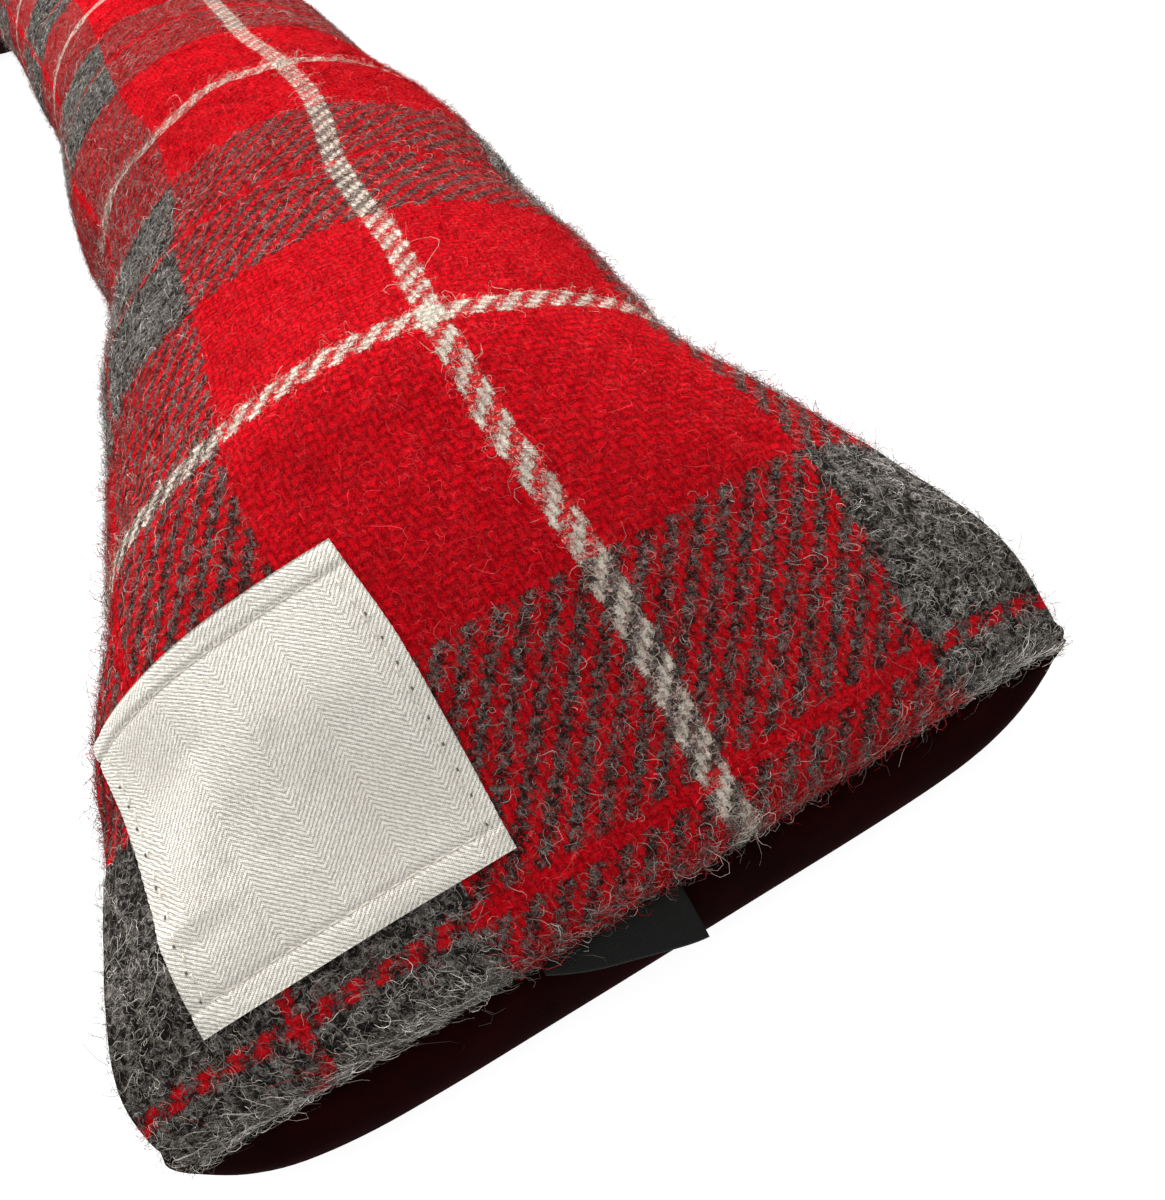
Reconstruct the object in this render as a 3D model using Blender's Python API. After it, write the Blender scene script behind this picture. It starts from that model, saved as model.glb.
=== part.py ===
"""A draught excluder: a long stuffed tube of cloth that lies along the foot of a door.

The tube runs along X, with its labelled end at +X, and lies on the floor at Z = 0. Its tweed top panel
and its velvet base panel are sewn together down both sides and across both ends, so each end closes in
a flat straight seam as wide as the cloth, and the tube flares out to that seam.
"""

from collections import namedtuple

import bmesh
import bpy
import numpy as np

MM = 0.001

# Driving sizes, in millimetres
LENGTH = 880.0             # from end seam to end seam
ROUNDNESS = 2.1            # exponent of the sections: 2 is an ellipse, more is squarer
SEAM_GAP = 0.4             # between the two filled halves, along the seams
SWELL_TOP = 27.0 / 4.0     # makes the velvet's swell equal its roll where it is widest
AROUND = 22                # facets across each panel
FINE = 241                 # points along a ring or a seam where lengths are read off it
SHARP = np.radians(50.0)   # edges that turn by more than this are not shaded smooth
END_ZONE = 76.0            # length of cloth at each end that is divided finely
END_STEP = 4.5             # facet length there
BODY_STEP = 17.0           # facet length between the two end zones

# The label: a woven patch with folded edges, sewn round the left side
CUT_WIDTH = 148.0          # width of the tweed along the body, from side seam to side seam
LABEL_START = 16.0         # cloth between the end seam and the label
LABEL_LENGTH = 49.3        # along the tube
LABEL_FROM_SIDE = 13.3     # cloth between the left side seam, run on straight, and the label
LABEL_ROUND = 48.0         # round the side
LABEL_THICKNESS = 1.2
LABEL_CLEARANCE = 0.4      # over the tweed
LABEL_STEPS = (12, 14)     # facets along and round

# The tab: a ribbon folded in two, its cut ends sewn into the end seam
TAB_CENTRE = -7.0          # along the end seam, left of its middle
TAB_WIDTH = 22.0
TAB_OUT = (0.6, 3.4)       # how far the fold stands out in front of the seam, at its left and right ends
TAB_DOWN = (1.8, 7.2)      # how far the fold hangs below the seam, at its left and right ends
TAB_EASE = 2.2             # how much sooner than evenly it opens from the left end on
TAB_OUT_BEND = 1.4         # how steeply it leaves the seam forwards, against a straight way to the fold
TAB_DOWN_BEND = 0.7        # the same for the way down
TAB_LAYER = 1.0            # thickness of each of its two layers
TAB_SLIT = 0.5             # between the layers
TAB_CLEARANCE = 0.5        # in front of the velvet
TAB_STEPS = 8              # facets along the fold
TAB_STOPS = 5              # facets from the seam down to the fold
FOLD_STOPS = 4             # facets round the fold

# One row for each ring of cloth, in millimetres from the labelled end's seam:
#   run         how far along the tube the ring's top is
#   side_run    how far along the tube it meets the side seams
#   lean        how far the tube's middle has wandered to +Y
#   half_width  from the middle to a side seam
#   seam        height of the side seams
#   crown       height of the tweed on the middle line
#   base_run    how far along the tube the ring's underside is
#   under       height of the velvet on the middle line; below 0 it is pressed flat on the floor
#   square      exponent of the velvet's section: the end stands as a wall, the body is round
#   left_roll   how far the velvet swells out past the left side seam
#   right_roll  how far the velvet swells out past the right side seam
#   tilt        how much lower the right side seam is than the left one
Ring = namedtuple("Ring", "run side_run lean half_width seam crown base_run under square"
                          " left_roll right_roll tilt")

LABELLED_END = (
    Ring(0.0, 3.8, 0.0, 68.4, 12.6, 17.4, 0.0, 17.4, 2.1, 0.0, 0.0, 1.0),
    Ring(1.0, 4.4, 0.0, 71.2, 13.2, 18.6, -0.4, 15.0, 3.0, 0.1, 0.1, 1.2),
    Ring(2.6, 5.8, -0.2, 73.4, 14.2, 20.4, -0.7, 12.4, 4.2, 0.2, 0.3, 2.0),
    Ring(5.5, 8.0, -0.6, 74.3, 16.6, 24.0, -0.5, 7.6, 7.5, 1.2, 2.6, 2.6),
    Ring(9.0, 11.0, -0.8, 74.6, 19.6, 28.2, 0.7, 3.2, 7.5, 1.2, 3.0, 3.2),
    Ring(18.0, 20.0, -0.4, 72.2, 27.5, 38.5, 5.3, -1.5, 6.0, 1.0, 2.6, 2.0),
    Ring(29.5, 39.0, -0.3, 66.1, 33.0, 54.0, 21.5, -4.0, 3.0, 0.0, 0.6, 1.0),
    Ring(48.0, 54.0, -2.0, 60.5, 37.5, 68.0, 46.0, -4.0, 2.2, 0.0, 0.0, 0.0),
    Ring(67.0, 72.0, -1.0, 54.5, 38.5, 76.5, 67.0, -4.0, 2.1, 0.0, 0.0, 0.0),
)
BODY = (
    Ring(110.0, 109.0, 3.5, 54.0, 38.5, 77.0, 110.0, -4.0, 2.1, 0.0, 0.0, 0.0),
    Ring(142.0, 142.0, 5.5, 53.0, 37.5, 77.5, 142.0, -4.0, 2.1, 0.0, 0.0, 0.0),
    Ring(175.0, 175.0, 10.5, 51.5, 37.0, 78.5, 175.0, -4.5, 2.1, 0.0, 0.0, 0.0),
    Ring(218.0, 218.0, 13.0, 51.5, 37.0, 78.5, 218.0, -4.0, 2.1, 0.0, 0.0, 0.0),
    Ring(261.0, 261.0, 11.0, 52.0, 39.0, 80.0, 261.0, -3.5, 2.1, 0.0, 0.0, 0.0),
    Ring(370.0, 370.0, 14.0, 51.0, 39.5, 81.5, 370.0, -3.5, 2.1, 0.0, 0.0, 0.0),
    Ring(470.0, 470.0, 11.0, 52.0, 38.5, 80.0, 470.0, -4.0, 2.1, 0.0, 0.0, 0.0),
    Ring(570.0, 570.0, 7.0, 51.0, 38.0, 81.0, 570.0, -3.5, 2.1, 0.0, 0.0, 0.0),
    Ring(660.0, 660.0, 2.0, 52.0, 38.0, 79.5, 660.0, -4.0, 2.1, 0.0, 0.0, 0.0),
    Ring(740.0, 740.0, -4.0, 52.5, 38.0, 80.0, 740.0, -4.0, 2.1, 0.0, 0.0, 0.0),
    Ring(780.0, 780.0, -7.0, 54.0, 38.5, 77.5, 780.0, -4.0, 2.1, 0.0, 0.0, 0.0),
)
FAR_END = (
    Ring(813.0, 807.0, -8.5, 55.0, 38.0, 76.0, 813.0, -4.0, 2.1, 0.0, 0.0, 0.0),
    Ring(832.0, 826.0, -9.5, 61.0, 37.0, 67.5, 834.0, -4.0, 2.2, 0.0, 0.0, 0.0),
    Ring(850.5, 841.0, -9.2, 66.0, 33.0, 53.5, 858.5, -4.0, 3.0, 0.5, 0.0, -0.5),
    Ring(862.0, 860.0, -9.8, 72.0, 27.5, 38.0, 875.0, -1.5, 6.0, 2.2, 1.0, -1.0),
    Ring(871.0, 869.0, -10.0, 74.2, 19.6, 27.8, 879.8, 3.2, 7.5, 2.6, 1.4, -1.6),
    Ring(874.5, 872.0, -10.2, 74.2, 16.6, 23.7, 880.6, 7.6, 7.5, 2.4, 1.4, -1.2),
    Ring(877.4, 874.2, -10.2, 73.4, 14.2, 20.3, 880.8, 12.4, 4.2, 0.3, 0.2, -0.6),
    Ring(879.0, 875.6, -10.2, 71.0, 13.0, 18.4, 880.4, 15.0, 3.0, 0.1, 0.1, -0.2),
    Ring(LENGTH, 876.2, -10.2, 68.0, 12.4, 17.2, LENGTH, 17.2, 2.1, 0.0, 0.0, 0.0),
)
RINGS = np.array(LABELLED_END + BODY + FAR_END)

# Soft dents in the tweed: where they are along the tube and across the panel (-1 left seam, +1 right
# seam), how deep, and how far they spread each way
Dent = namedtuple("Dent", "run across depth spread_along spread_across")
DENTS = (
    Dent(62.0, 0.62, 2.0, 16.0, 0.22),
    Dent(84.0, -0.55, 1.2, 18.0, 0.25),
    Dent(150.0, 0.35, 1.0, 26.0, 0.30),
    Dent(238.0, -0.60, 1.8, 20.0, 0.25),
    Dent(345.0, 0.20, 1.4, 30.0, 0.35),
    Dent(452.0, -0.40, 1.6, 24.0, 0.30),
    Dent(548.0, 0.50, 1.8, 26.0, 0.30),
    Dent(640.0, -0.15, 1.3, 30.0, 0.40),
    Dent(735.0, 0.45, 1.5, 22.0, 0.30),
    Dent(806.0, -0.55, 2.0, 16.0, 0.25),
)

# colour, roughness
FINISHES = {
    "tweed_top": ((0.27, 0.045, 0.05), 0.95),
    "velvet_base": ((0.035, 0.006, 0.012), 0.85),
    "label": ((0.62, 0.58, 0.50), 0.75),
    "ribbon_tab": ((0.012, 0.012, 0.013), 0.60),
}


def through(knots, values, wanted):
    """Smooth monotone curves through the table's rows: each column is read at the wanted knots."""
    steps = np.diff(knots)[:, None]
    slopes = np.diff(values, axis=0) / steps
    same_way = slopes[:-1] * slopes[1:] > 0
    with np.errstate(divide="ignore", invalid="ignore"):
        inner = np.where(same_way, 2.0 / (1.0 / slopes[:-1] + 1.0 / slopes[1:]), 0.0)
    tangents = np.concatenate([slopes[:1], inner, slopes[-1:]])
    row = np.clip(np.searchsorted(knots, wanted, side="right") - 1, 0, len(knots) - 2)
    width = steps[row]
    t = (np.asarray(wanted)[:, None] - knots[row][:, None]) / width
    return ((1 + 2 * t) * (1 - t) ** 2 * values[row] + t ** 2 * (3 - 2 * t) * values[row + 1]
            + width * t * (1 - t) ** 2 * tangents[row] - width * t ** 2 * (1 - t) * tangents[row + 1])


def cloth_knots():
    """Length of cloth from the first end seam to each ring, along the tweed's middle line."""
    middle = RINGS[:, [0, 5]]
    return np.concatenate([[0.0], np.cumsum(np.hypot(*np.diff(middle, axis=0).T))])


KNOTS = cloth_knots()


def rings_at(cloth):
    """The rings at the given lengths of cloth from the first end seam, as an array of table rows."""
    return through(KNOTS, RINGS, np.atleast_1d(np.asarray(cloth, float)))


def panel(rings, angles, top=True):
    """Points of one panel, in millimetres from the end seam: one row of points for each ring.

    The angle runs from 0 at the left seam, over or under the tube, to pi at the right seam.
    """
    columns = Ring(*[column[:, None] for column in rings.T])
    power = 2.0 / ROUNDNESS
    side = -np.sign(np.cos(angles)) * np.abs(np.cos(angles)) ** power
    seam = columns.seam - columns.tilt / 2 * side
    if top:
        rise = np.abs(np.sin(angles)) ** power
        forward = 1.0 - np.abs(side) ** ROUNDNESS
        dip = rise * sum(dent.depth * np.exp(-((columns.run - dent.run) / dent.spread_along) ** 2
                                             - ((side - dent.across) / dent.spread_across) ** 2)
                         for dent in DENTS)
        along = columns.side_run + (columns.run - columns.side_run) * forward
        across = columns.lean + (columns.half_width - dip) * side
        height = seam + (columns.crown - seam) * rise - dip * rise
    else:
        forward = np.clip(1.0 - np.abs(side) ** columns.square, 0.0, 1.0)
        drop = forward ** (1.0 / columns.square)
        along = columns.side_run + (columns.base_run - columns.side_run) * forward
        roll = np.where(side < 0, columns.left_roll, columns.right_roll)
        swell = SWELL_TOP * roll * drop ** 2 * (1.0 - drop)
        across = columns.lean + (columns.half_width + swell) * side
        height = np.maximum(seam + (columns.under - seam) * drop, 0.0)
    return np.stack(np.broadcast_arrays(-along, across, height), axis=-1)


def angles_at(ring, distances):
    """Angles on the tweed along one ring, at given distances from the left seam run on straight."""
    fine = np.linspace(0.0, np.pi, FINE)
    points = panel(ring, fine)[0]
    walked = np.concatenate([[0.0], np.cumsum(np.linalg.norm(np.diff(points, axis=0), axis=1))])
    return np.interp(distances, walked + (CUT_WIDTH - walked[-1]) / 2, fine)


def tweed_patch(cloth, distances):
    """Points and outward normals of the tweed on a grid of cloth lengths and distances from the seam."""
    nudge_along = 0.5
    nudge_round = 0.01
    points = []
    normals = []
    for length in cloth:
        here = rings_at(length)
        angle = angles_at(here, distances)
        place = panel(here, angle)[0]
        onward = panel(rings_at(length + nudge_along), angle)[0] - place
        sideways = panel(here, angle + nudge_round)[0] - place
        normal = np.cross(sideways, onward)
        points.append(place)
        normals.append(normal / np.linalg.norm(normal, axis=1)[:, None])
    return np.array(points), np.array(normals)


def grid_faces(rows, columns, first=0, crossed=()):
    """Triangles of a grid of points that is numbered row by row; crossed cells are cut the other way."""
    faces = []
    for r in range(rows - 1):
        for c in range(columns - 1):
            a = first + r * columns + c
            b = a + columns
            if (r, c) in crossed:
                faces += [(a, b, a + 1), (a + 1, b, b + 1)]
            else:
                faces += [(a, b, b + 1), (a, b + 1, a + 1)]
    return faces


def filled_half(surface):
    """A panel closed by the ruled surface between its seams: the filling behind it is one solid."""
    rows, columns, _ = surface.shape
    faces = grid_faces(rows, columns, crossed=((0, columns - 2), (rows - 2, 0)))
    left = [r * columns for r in range(rows)]
    right = [r * columns + columns - 1 for r in range(rows)]
    for r in range(1, rows - 2):
        faces += [(left[r], right[r], right[r + 1]), (left[r], right[r + 1], left[r + 1])]
    half = columns // 2
    for end, inner in ((0, 1), (rows - 1, rows - 2)):
        for c in range(columns - 1):
            anchor = left[inner] if c < half else right[inner]
            faces.append((left[end] + c, left[end] + c + 1, anchor))
        faces.append((left[end] + half, left[inner], right[inner]))
    return surface.reshape(-1, 3), faces


def thick_sheet(points, normals, clearance, thickness):
    """A closed sheet that lies over a grid of points."""
    rows, columns, _ = points.shape
    inner = points + normals * clearance
    outer = points + normals * (clearance + thickness)
    count = rows * columns
    faces = grid_faces(rows, columns) + grid_faces(rows, columns, count)
    rim = ([c for c in range(columns)]
           + [r * columns + columns - 1 for r in range(1, rows)]
           + [(rows - 1) * columns + c for c in range(columns - 2, -1, -1)]
           + [r * columns for r in range(rows - 2, 0, -1)])
    for here, following in zip(rim, rim[1:] + rim[:1]):
        faces += [(here, following, following + count), (here, following + count, here + count)]
    return np.concatenate([inner.reshape(-1, 3), outer.reshape(-1, 3)]), faces


def build_label():
    """The woven patch, over the tweed on the left side."""
    along = np.linspace(LABEL_START, LABEL_START + LABEL_LENGTH, LABEL_STEPS[0] + 1)
    around = np.linspace(LABEL_FROM_SIDE, LABEL_FROM_SIDE + LABEL_ROUND, LABEL_STEPS[1] + 1)
    points, normals = tweed_patch(along, around)
    return thick_sheet(points, normals, LABEL_CLEARANCE, LABEL_THICKNESS)


def unit(vectors):
    """Each vector of an array at length 1."""
    return vectors / np.linalg.norm(vectors, axis=-1, keepdims=True)


def hairpin(route, outward):
    """Outline of a ribbon folded in two that follows a route: down in front of it and back up behind."""
    slit = TAB_SLIT / 2
    full = slit + TAB_LAYER
    heading = unit(route[-1] - route[-2])
    turn = np.linspace(0.0, np.pi, FOLD_STOPS + 1)
    round_the_fold = [route[-1] + full * (outward[-1] * np.cos(t) + heading * np.sin(t)) for t in turn]
    front = route[:-1] + outward[:-1] * full
    behind = (route[:-1] - outward[:-1] * full)[::-1]
    inside_behind = route[:-1] - outward[:-1] * slit
    inside_front = (route[:-1] + outward[:-1] * slit)[::-1]
    return np.concatenate([front, round_the_fold, behind, inside_behind, inside_front])


def bent(t, start_slope):
    """A curve from 0 to 1 that starts with the given slope."""
    return start_slope * t + (1.0 - start_slope) * t ** 2


def tab_route(share, seam_height):
    """The middle of the folded ribbon, from the seam down to its fold, as (forward, up) points."""
    opened = 1.0 - (1.0 - share) ** TAB_EASE
    out = TAB_OUT[0] + (TAB_OUT[1] - TAB_OUT[0]) * opened
    down = TAB_DOWN[0] + (TAB_DOWN[1] - TAB_DOWN[0]) * opened
    start = TAB_CLEARANCE + TAB_LAYER + TAB_SLIT / 2
    t = np.linspace(0.0, 1.0, TAB_STOPS + 1)
    forward = start + out * bent(t, TAB_OUT_BEND)
    up = seam_height - down * bent(t, TAB_DOWN_BEND)
    return np.stack([forward, up], axis=1)


def build_tab():
    """The folded ribbon: it comes out of the end seam at a slant and stands off the front of the velvet."""
    end_seam = panel(rings_at(0.0), np.linspace(0.0, np.pi, FINE), top=False)[0]
    outlines = []
    for share in np.linspace(0.0, 1.0, TAB_STEPS + 1):
        place = TAB_CENTRE + (share - 0.5) * TAB_WIDTH
        seam_at, seam_height = [np.interp(place, end_seam[:, 1], end_seam[:, k]) for k in (0, 2)]
        route = tab_route(share, seam_height) + np.array([seam_at, 0.0])
        along = unit(np.gradient(route, axis=0))
        outward = np.stack([-along[:, 1], along[:, 0]], axis=1)
        outlines.append([(forward, place, up) for forward, up in hairpin(route, outward)])
    points = np.array(outlines)
    rows, columns, _ = points.shape
    faces = []
    for r in range(rows - 1):
        for c in range(columns):
            d = (c + 1) % columns
            a = r * columns
            b = a + columns
            faces += [(a + c, b + c, b + d), (a + c, b + d, a + d)]
    faces.append(tuple(range(columns)))
    faces.append(tuple(range((rows - 1) * columns, rows * columns)))
    return points.reshape(-1, 3), faces


def make_object(name, points, faces):
    """One closed object with its own material."""
    mesh = bpy.data.meshes.new(name)
    shape = bmesh.new()
    corners = [shape.verts.new(point) for point in points]
    for face in faces:
        shape.faces.new([corners[i] for i in face])
    bmesh.ops.recalc_face_normals(shape, faces=shape.faces)
    if shape.calc_volume(signed=True) < 0:
        bmesh.ops.reverse_faces(shape, faces=shape.faces)
    bmesh.ops.triangulate(shape, faces=[face for face in shape.faces if len(face.verts) > 3])
    shape.to_mesh(mesh)
    shape.free()
    mesh.shade_smooth()
    mesh.set_sharp_from_angle(angle=SHARP)
    colour, roughness = FINISHES[name]
    material = bpy.data.materials.new(name)
    material.use_nodes = True
    surface = material.node_tree.nodes["Principled BSDF"]
    surface.inputs["Base Color"].default_value = (*colour, 1.0)
    surface.inputs["Roughness"].default_value = roughness
    surface.inputs["Metallic"].default_value = 0.0
    mesh.materials.append(material)
    thing = bpy.data.objects.new(name, mesh)
    bpy.context.scene.collection.objects.link(thing)
    return thing


def division():
    """Cloth lengths at which the panels are divided: finely at both ends."""
    whole = KNOTS[-1]
    fine = int(round(END_ZONE / END_STEP))
    coarse = int(round((whole - 2 * END_ZONE) / BODY_STEP))
    return np.concatenate([np.linspace(0.0, END_ZONE, fine + 1)[:-1],
                           np.linspace(END_ZONE, whole - END_ZONE, coarse + 1)[:-1],
                           np.linspace(whole - END_ZONE, whole, fine + 1)])


def main():
    for thing in list(bpy.data.objects):
        bpy.data.objects.remove(thing, do_unlink=True)

    rings = rings_at(division())
    angles = np.linspace(0.0, np.pi, AROUND + 1)
    lift = np.array([0.0, 0.0, SEAM_GAP])
    pieces = {
        "tweed_top": filled_half(panel(rings, angles) + lift),
        "velvet_base": filled_half(panel(rings, angles, top=False)),
        "label": build_label(),
        "ribbon_tab": build_tab(),
    }
    pieces["label"] = (pieces["label"][0] + lift, pieces["label"][1])

    everything = np.concatenate([points for points, _ in pieces.values()])
    low = everything.min(axis=0)
    high = everything.max(axis=0)
    origin = np.array([(low[0] + high[0]) / 2, (low[1] + high[1]) / 2, low[2]])
    for name, (points, faces) in pieces.items():
        make_object(name, (points - origin) * MM, faces)


main()
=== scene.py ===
"""Looks of the draught excluder: fuzzy tartan tweed, velvet, a woven label and a ribbon tab.

Shapes are worked out in millimetres from the labelled end's seam, as the solids are, and each point is
then placed in the frame in metres. The tweed's threads are numbered: the ends run along the tube and are
counted across it, and the picks run across the tube and are counted along it.
"""

from collections import namedtuple

import bpy
import numpy as np
from mathutils import Matrix, Vector


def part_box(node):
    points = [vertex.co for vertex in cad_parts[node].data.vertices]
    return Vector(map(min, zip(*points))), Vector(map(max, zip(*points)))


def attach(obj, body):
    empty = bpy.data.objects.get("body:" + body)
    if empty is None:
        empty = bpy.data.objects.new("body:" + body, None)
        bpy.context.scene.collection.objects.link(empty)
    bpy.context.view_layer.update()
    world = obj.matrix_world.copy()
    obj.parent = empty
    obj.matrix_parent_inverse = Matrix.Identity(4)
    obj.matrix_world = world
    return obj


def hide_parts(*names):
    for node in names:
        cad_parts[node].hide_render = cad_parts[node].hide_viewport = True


MM = 0.001

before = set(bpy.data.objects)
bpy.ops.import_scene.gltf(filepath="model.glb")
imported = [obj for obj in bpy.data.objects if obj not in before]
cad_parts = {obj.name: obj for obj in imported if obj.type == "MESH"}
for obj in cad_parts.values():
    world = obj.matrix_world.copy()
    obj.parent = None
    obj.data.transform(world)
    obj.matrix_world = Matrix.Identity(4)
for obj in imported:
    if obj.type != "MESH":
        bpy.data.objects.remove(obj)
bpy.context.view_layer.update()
dice = np.random.default_rng(11)

# Shape of the tube

LENGTH = 880.0
ROUNDNESS = 2.1
SEAM_GAP = 0.4
SWELL_TOP = 27.0 / 4.0     # makes the velvet's swell equal its roll where it is widest

# One row for each ring of cloth: where its top and sides are along the tube, how far its middle leans to
# +Y, its half width, the heights of its side seams and crown, where its underside is and how high, the
# exponent of the velvet's section, how far the velvet swells past the left and right side seams, and how
# much lower the right side seam is than the left one
Ring = namedtuple("Ring", "run side_run lean half_width seam crown base_run under square"
                          " left_roll right_roll tilt")
RINGS = np.array((
    Ring(0.0, 3.8, 0.0, 68.4, 12.6, 17.4, 0.0, 17.4, 2.1, 0.0, 0.0, 1.0),
    Ring(1.0, 4.4, 0.0, 71.2, 13.2, 18.6, -0.4, 15.0, 3.0, 0.1, 0.1, 1.2),
    Ring(2.6, 5.8, -0.2, 73.4, 14.2, 20.4, -0.7, 12.4, 4.2, 0.2, 0.3, 2.0),
    Ring(5.5, 8.0, -0.6, 74.3, 16.6, 24.0, -0.5, 7.6, 7.5, 1.2, 2.6, 2.6),
    Ring(9.0, 11.0, -0.8, 74.6, 19.6, 28.2, 0.7, 3.2, 7.5, 1.2, 3.0, 3.2),
    Ring(18.0, 20.0, -0.4, 72.2, 27.5, 38.5, 5.3, -1.5, 6.0, 1.0, 2.6, 2.0),
    Ring(29.5, 39.0, -0.3, 66.1, 33.0, 54.0, 21.5, -4.0, 3.0, 0.0, 0.6, 1.0),
    Ring(48.0, 54.0, -2.0, 60.5, 37.5, 68.0, 46.0, -4.0, 2.2, 0.0, 0.0, 0.0),
    Ring(67.0, 72.0, -1.0, 54.5, 38.5, 76.5, 67.0, -4.0, 2.1, 0.0, 0.0, 0.0),
    Ring(110.0, 109.0, 3.5, 54.0, 38.5, 77.0, 110.0, -4.0, 2.1, 0.0, 0.0, 0.0),
    Ring(142.0, 142.0, 5.5, 53.0, 37.5, 77.5, 142.0, -4.0, 2.1, 0.0, 0.0, 0.0),
    Ring(175.0, 175.0, 10.5, 51.5, 37.0, 78.5, 175.0, -4.5, 2.1, 0.0, 0.0, 0.0),
    Ring(218.0, 218.0, 13.0, 51.5, 37.0, 78.5, 218.0, -4.0, 2.1, 0.0, 0.0, 0.0),
    Ring(261.0, 261.0, 11.0, 52.0, 39.0, 80.0, 261.0, -3.5, 2.1, 0.0, 0.0, 0.0),
    Ring(370.0, 370.0, 14.0, 51.0, 39.5, 81.5, 370.0, -3.5, 2.1, 0.0, 0.0, 0.0),
    Ring(470.0, 470.0, 11.0, 52.0, 38.5, 80.0, 470.0, -4.0, 2.1, 0.0, 0.0, 0.0),
    Ring(570.0, 570.0, 7.0, 51.0, 38.0, 81.0, 570.0, -3.5, 2.1, 0.0, 0.0, 0.0),
    Ring(660.0, 660.0, 2.0, 52.0, 38.0, 79.5, 660.0, -4.0, 2.1, 0.0, 0.0, 0.0),
    Ring(740.0, 740.0, -4.0, 52.5, 38.0, 80.0, 740.0, -4.0, 2.1, 0.0, 0.0, 0.0),
    Ring(780.0, 780.0, -7.0, 54.0, 38.5, 77.5, 780.0, -4.0, 2.1, 0.0, 0.0, 0.0),
    Ring(813.0, 807.0, -8.5, 55.0, 38.0, 76.0, 813.0, -4.0, 2.1, 0.0, 0.0, 0.0),
    Ring(832.0, 826.0, -9.5, 61.0, 37.0, 67.5, 834.0, -4.0, 2.2, 0.0, 0.0, 0.0),
    Ring(850.5, 841.0, -9.2, 66.0, 33.0, 53.5, 858.5, -4.0, 3.0, 0.5, 0.0, -0.5),
    Ring(862.0, 860.0, -9.8, 72.0, 27.5, 38.0, 875.0, -1.5, 6.0, 2.2, 1.0, -1.0),
    Ring(871.0, 869.0, -10.0, 74.2, 19.6, 27.8, 879.8, 3.2, 7.5, 2.6, 1.4, -1.6),
    Ring(874.5, 872.0, -10.2, 74.2, 16.6, 23.7, 880.6, 7.6, 7.5, 2.4, 1.4, -1.2),
    Ring(877.4, 874.2, -10.2, 73.4, 14.2, 20.3, 880.8, 12.4, 4.2, 0.3, 0.2, -0.6),
    Ring(879.0, 875.6, -10.2, 71.0, 13.0, 18.4, 880.4, 15.0, 3.0, 0.1, 0.1, -0.2),
    Ring(LENGTH, 876.2, -10.2, 68.0, 12.4, 17.2, LENGTH, 17.2, 2.1, 0.0, 0.0, 0.0),
))

# Soft dents in the tweed, across counted from -1 at the left seam to +1 at the right seam
Dent = namedtuple("Dent", "run across depth spread_along spread_across")
DENTS = (
    Dent(62.0, 0.62, 2.0, 16.0, 0.22),
    Dent(84.0, -0.55, 1.2, 18.0, 0.25),
    Dent(150.0, 0.35, 1.0, 26.0, 0.30),
    Dent(238.0, -0.60, 1.8, 20.0, 0.25),
    Dent(345.0, 0.20, 1.4, 30.0, 0.35),
    Dent(452.0, -0.40, 1.6, 24.0, 0.30),
    Dent(548.0, 0.50, 1.8, 26.0, 0.30),
    Dent(640.0, -0.15, 1.3, 30.0, 0.40),
    Dent(735.0, 0.45, 1.5, 22.0, 0.30),
    Dent(806.0, -0.55, 2.0, 16.0, 0.25),
)

# Label, as in the solids, and the ribbon tab, which is thinner than its solid
LABEL_START = 16.0
LABEL_LENGTH = 49.3
LABEL_FROM_SIDE = 13.3
LABEL_ROUND = 48.0
TAB_CENTRE = -7.0
TAB_WIDTH = 22.0
TAB_OUT = (0.6, 4.2)        # how far the fold stands out in front of the seam, at its left and right ends
TAB_DOWN = (-0.2, 6.6)      # how far it hangs below the seam there
TAB_EASE = 1.5


def through(knots, values, wanted):
    """Smooth monotone curves through the table's rows: each column is read at the wanted knots."""
    steps = np.diff(knots)[:, None]
    slopes = np.diff(values, axis=0) / steps
    same_way = slopes[:-1] * slopes[1:] > 0
    with np.errstate(divide="ignore", invalid="ignore"):
        inner = np.where(same_way, 2.0 / (1.0 / slopes[:-1] + 1.0 / slopes[1:]), 0.0)
    tangents = np.concatenate([slopes[:1], inner, slopes[-1:]])
    row = np.clip(np.searchsorted(knots, wanted, side="right") - 1, 0, len(knots) - 2)
    width = steps[row]
    t = (np.asarray(wanted)[:, None] - knots[row][:, None]) / width
    return ((1 + 2 * t) * (1 - t) ** 2 * values[row] + t ** 2 * (3 - 2 * t) * values[row + 1]
            + width * t * (1 - t) ** 2 * tangents[row] - width * t ** 2 * (1 - t) * tangents[row + 1])


def walked(points):
    """Distance of each point from the start of its row."""
    steps = np.linalg.norm(np.diff(points, axis=-2), axis=-1)
    return np.concatenate([np.zeros((*steps.shape[:-1], 1)), np.cumsum(steps, axis=-1)], axis=-1)


# The middle line of the tweed from end to end, from each ring's run and crown
KNOTS = walked(RINGS[:, [0, 5]])
CLOTH = KNOTS[-1]


def rings_at(cloth):
    """The rings at the given lengths of cloth from the labelled end's seam."""
    return through(KNOTS, RINGS, np.atleast_1d(np.asarray(cloth, float)))


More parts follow.
